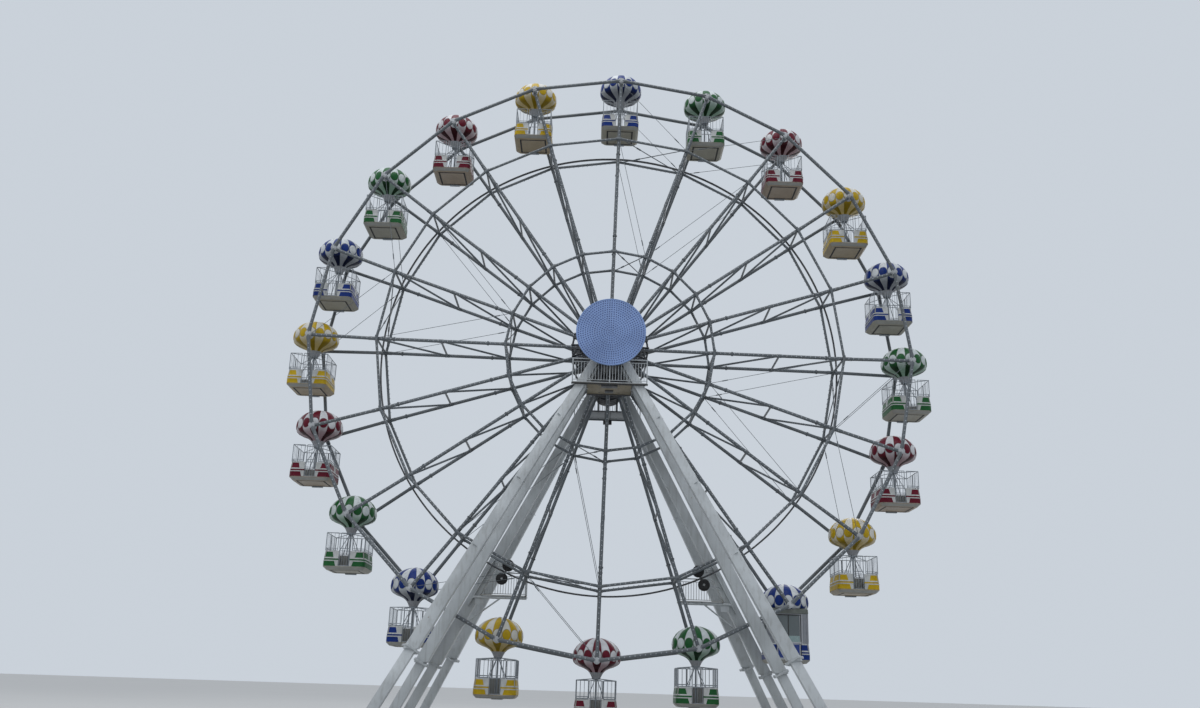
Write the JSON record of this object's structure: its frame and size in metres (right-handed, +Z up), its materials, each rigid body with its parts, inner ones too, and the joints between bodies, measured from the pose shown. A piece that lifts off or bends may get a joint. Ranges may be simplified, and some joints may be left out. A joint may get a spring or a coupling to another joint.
{
  "type": "ferris wheel with balloon gondolas",
  "caption": "Fairground ferris wheel on splayed box legs, with an open lattice wheel and balloon-topped basket gondolas that hang level.",
  "frame": {"origin": "on the ground under the middle of the hub", "axes": "+Z up, +X to the right seen from the front, -Y towards the front where people board"},
  "size_m": [27.5202, 14.08, 29.2389],
  "materials": {
    "tower_paint": "satin grey-white paint",
    "wheel_paint": "white gloss paint, weathered",
    "hub_steel": "grey paint over steel",
    "disc_blue": "periwinkle blue light panel",
    "gondola_blue": "gloss fibreglass, blue and white",
    "gondola_green": "gloss fibreglass, green and white",
    "gondola_red": "gloss fibreglass, crimson and white",
    "gondola_yellow": "gloss fibreglass, yellow and white",
    "tyre": "black drive tyre",
    "cage_steel": "light grey paint over steel tube",
    "cabin_glass": "clear window glass"
  },
  "bodies": {
    "tower": {"front_left_legs": "tower_paint", "front_right_legs": "tower_paint", "rear_left_legs": "tower_paint", "rear_right_legs": "tower_paint", "front_head": "tower_paint", "rear_head": "tower_paint", "left_drive": "tower_paint", "right_drive": "tower_paint"},
    "wheel": {"hub": "hub_steel", "hub_disc": "disc_blue", "rim_front": "wheel_paint", "rim_rear": "wheel_paint", "mid_ring": "wheel_paint", "inner_ring": "wheel_paint", "spoke_00": "wheel_paint", "spoke_01": "wheel_paint", "spoke_02": "wheel_paint", "spoke_03": "wheel_paint", "spoke_04": "wheel_paint", "spoke_05": "wheel_paint", "spoke_06": "wheel_paint", "spoke_07": "wheel_paint", "spoke_08": "wheel_paint", "spoke_09": "wheel_paint", "spoke_10": "wheel_paint", "spoke_11": "wheel_paint", "spoke_12": "wheel_paint", "spoke_13": "wheel_paint", "spoke_14": "wheel_paint", "spoke_15": "wheel_paint", "spoke_16": "wheel_paint", "spoke_17": "wheel_paint", "spoke_18": "wheel_paint", "spoke_19": "wheel_paint"},
    "cabin_00": {"gondola_00": "gondola_blue"},
    "cabin_01": {"gondola_01": "gondola_green"},
    "cabin_02": {"gondola_02": "gondola_red"},
    "cabin_03": {"gondola_03": "gondola_yellow"},
    "cabin_04": {"gondola_04": "gondola_blue"},
    "cabin_05": {"gondola_05": "gondola_green"},
    "cabin_06": {"gondola_06": "gondola_red"},
    "cabin_07": {"gondola_07": "gondola_yellow"},
    "cabin_08": {"gondola_08": "gondola_blue"},
    "cabin_09": {"gondola_09": "gondola_green"},
    "cabin_10": {"gondola_10": "gondola_red"},
    "cabin_11": {"gondola_11": "gondola_yellow"},
    "cabin_12": {"gondola_12": "gondola_blue"},
    "cabin_13": {"gondola_13": "gondola_green"},
    "cabin_14": {"gondola_14": "gondola_red"},
    "cabin_15": {"gondola_15": "gondola_yellow"},
    "cabin_16": {"gondola_16": "gondola_blue"},
    "cabin_17": {"gondola_17": "gondola_green"},
    "cabin_18": {"gondola_18": "gondola_red"},
    "cabin_19": {"gondola_19": "gondola_yellow"},
    "left_upper_roller": {"left_upper_tyre": "tyre"},
    "left_lower_roller": {"left_lower_tyre": "tyre"},
    "right_upper_roller": {"right_upper_tyre": "tyre"},
    "right_lower_roller": {"right_lower_tyre": "tyre"}
  },
  "joints": [
    {"name": "wheel_turn", "type": "hinge", "parent": "tower", "child": "wheel", "pos_m": [0, 0, 15.5], "axis": [0, 1, 0], "continuous": true},
    {"name": "hang_00", "type": "hinge", "parent": "wheel", "child": "cabin_00", "pos_m": [0.1675, 0, 28.2989], "axis": [0, 1, 0], "continuous": true},
    {"name": "hang_01", "type": "hinge", "parent": "wheel", "child": "cabin_01", "pos_m": [4.1144, 0, 27.6207], "axis": [0, 1, 0], "continuous": true},
    {"name": "hang_02", "type": "hinge", "parent": "wheel", "child": "cabin_02", "pos_m": [7.6586, 0, 25.756], "axis": [0, 1, 0], "continuous": true},
    {"name": "hang_03", "type": "hinge", "parent": "wheel", "child": "cabin_03", "pos_m": [10.453, 0, 22.8875], "axis": [0, 1, 0], "continuous": true},
    {"name": "hang_04", "type": "hinge", "parent": "wheel", "child": "cabin_04", "pos_m": [12.2243, 0, 19.2957], "axis": [0, 1, 0], "continuous": true},
    {"name": "hang_05", "type": "hinge", "parent": "wheel", "child": "cabin_05", "pos_m": [12.7989, 0, 15.3325], "axis": [0, 1, 0], "continuous": true},
    {"name": "hang_06", "type": "hinge", "parent": "wheel", "child": "cabin_06", "pos_m": [12.1207, 0, 11.3856], "axis": [0, 1, 0], "continuous": true},
    {"name": "hang_07", "type": "hinge", "parent": "wheel", "child": "cabin_07", "pos_m": [10.256, 0, 7.8414], "axis": [0, 1, 0], "continuous": true},
    {"name": "hang_08", "type": "hinge", "parent": "wheel", "child": "cabin_08", "pos_m": [7.3875, 0, 5.047], "axis": [0, 1, 0], "continuous": true},
    {"name": "hang_09", "type": "hinge", "parent": "wheel", "child": "cabin_09", "pos_m": [3.7957, 0, 3.2757], "axis": [0, 1, 0], "continuous": true},
    {"name": "hang_10", "type": "hinge", "parent": "wheel", "child": "cabin_10", "pos_m": [-0.1675, 0, 2.7011], "axis": [0, 1, 0], "continuous": true},
    {"name": "hang_11", "type": "hinge", "parent": "wheel", "child": "cabin_11", "pos_m": [-4.1144, 0, 3.3793], "axis": [0, 1, 0], "continuous": true},
    {"name": "hang_12", "type": "hinge", "parent": "wheel", "child": "cabin_12", "pos_m": [-7.6586, 0, 5.244], "axis": [0, 1, 0], "continuous": true},
    {"name": "hang_13", "type": "hinge", "parent": "wheel", "child": "cabin_13", "pos_m": [-10.453, 0, 8.1125], "axis": [0, 1, 0], "continuous": true},
    {"name": "hang_14", "type": "hinge", "parent": "wheel", "child": "cabin_14", "pos_m": [-12.2243, 0, 11.7043], "axis": [0, 1, 0], "continuous": true},
    {"name": "hang_15", "type": "hinge", "parent": "wheel", "child": "cabin_15", "pos_m": [-12.7989, 0, 15.6675], "axis": [0, 1, 0], "continuous": true},
    {"name": "hang_16", "type": "hinge", "parent": "wheel", "child": "cabin_16", "pos_m": [-12.1207, 0, 19.6144], "axis": [0, 1, 0], "continuous": true},
    {"name": "hang_17", "type": "hinge", "parent": "wheel", "child": "cabin_17", "pos_m": [-10.256, 0, 23.1586], "axis": [0, 1, 0], "continuous": true},
    {"name": "hang_18", "type": "hinge", "parent": "wheel", "child": "cabin_18", "pos_m": [-7.3875, 0, 25.953], "axis": [0, 1, 0], "continuous": true},
    {"name": "hang_19", "type": "hinge", "parent": "wheel", "child": "cabin_19", "pos_m": [-3.7957, 0, 27.7243], "axis": [0, 1, 0], "continuous": true},
    {"name": "left_upper_spin", "type": "hinge", "parent": "tower", "child": "left_upper_roller", "pos_m": [-4.0029, 1.28, 6.5093], "axis": [0, 1, 0], "continuous": true},
    {"name": "left_lower_spin", "type": "hinge", "parent": "tower", "child": "left_lower_roller", "pos_m": [-4.2482, 1.28, 5.9584], "axis": [0, 1, 0], "continuous": true},
    {"name": "right_upper_spin", "type": "hinge", "parent": "tower", "child": "right_upper_roller", "pos_m": [4.0029, 1.28, 6.5093], "axis": [0, 1, 0], "continuous": true},
    {"name": "right_lower_spin", "type": "hinge", "parent": "tower", "child": "right_lower_roller", "pos_m": [4.2482, 1.28, 5.9584], "axis": [0, 1, 0], "continuous": true}
  ],
  "couplings": [
    {"joint": "hang_00", "follows": "wheel_turn", "ratio": -1},
    {"joint": "hang_01", "follows": "wheel_turn", "ratio": -1},
    {"joint": "hang_02", "follows": "wheel_turn", "ratio": -1},
    {"joint": "hang_03", "follows": "wheel_turn", "ratio": -1},
    {"joint": "hang_04", "follows": "wheel_turn", "ratio": -1},
    {"joint": "hang_05", "follows": "wheel_turn", "ratio": -1},
    {"joint": "hang_06", "follows": "wheel_turn", "ratio": -1},
    {"joint": "hang_07", "follows": "wheel_turn", "ratio": -1},
    {"joint": "hang_08", "follows": "wheel_turn", "ratio": -1},
    {"joint": "hang_09", "follows": "wheel_turn", "ratio": -1},
    {"joint": "hang_10", "follows": "wheel_turn", "ratio": -1},
    {"joint": "hang_11", "follows": "wheel_turn", "ratio": -1},
    {"joint": "hang_12", "follows": "wheel_turn", "ratio": -1},
    {"joint": "hang_13", "follows": "wheel_turn", "ratio": -1},
    {"joint": "hang_14", "follows": "wheel_turn", "ratio": -1},
    {"joint": "hang_15", "follows": "wheel_turn", "ratio": -1},
    {"joint": "hang_16", "follows": "wheel_turn", "ratio": -1},
    {"joint": "hang_17", "follows": "wheel_turn", "ratio": -1},
    {"joint": "hang_18", "follows": "wheel_turn", "ratio": -1},
    {"joint": "hang_19", "follows": "wheel_turn", "ratio": -1},
    {"joint": "left_upper_spin", "follows": "wheel_turn", "ratio": 40.442},
    {"joint": "left_lower_spin", "follows": "wheel_turn", "ratio": -40.758},
    {"joint": "right_upper_spin", "follows": "wheel_turn", "ratio": 40.442},
    {"joint": "right_lower_spin", "follows": "wheel_turn", "ratio": -40.758}
  ]
}
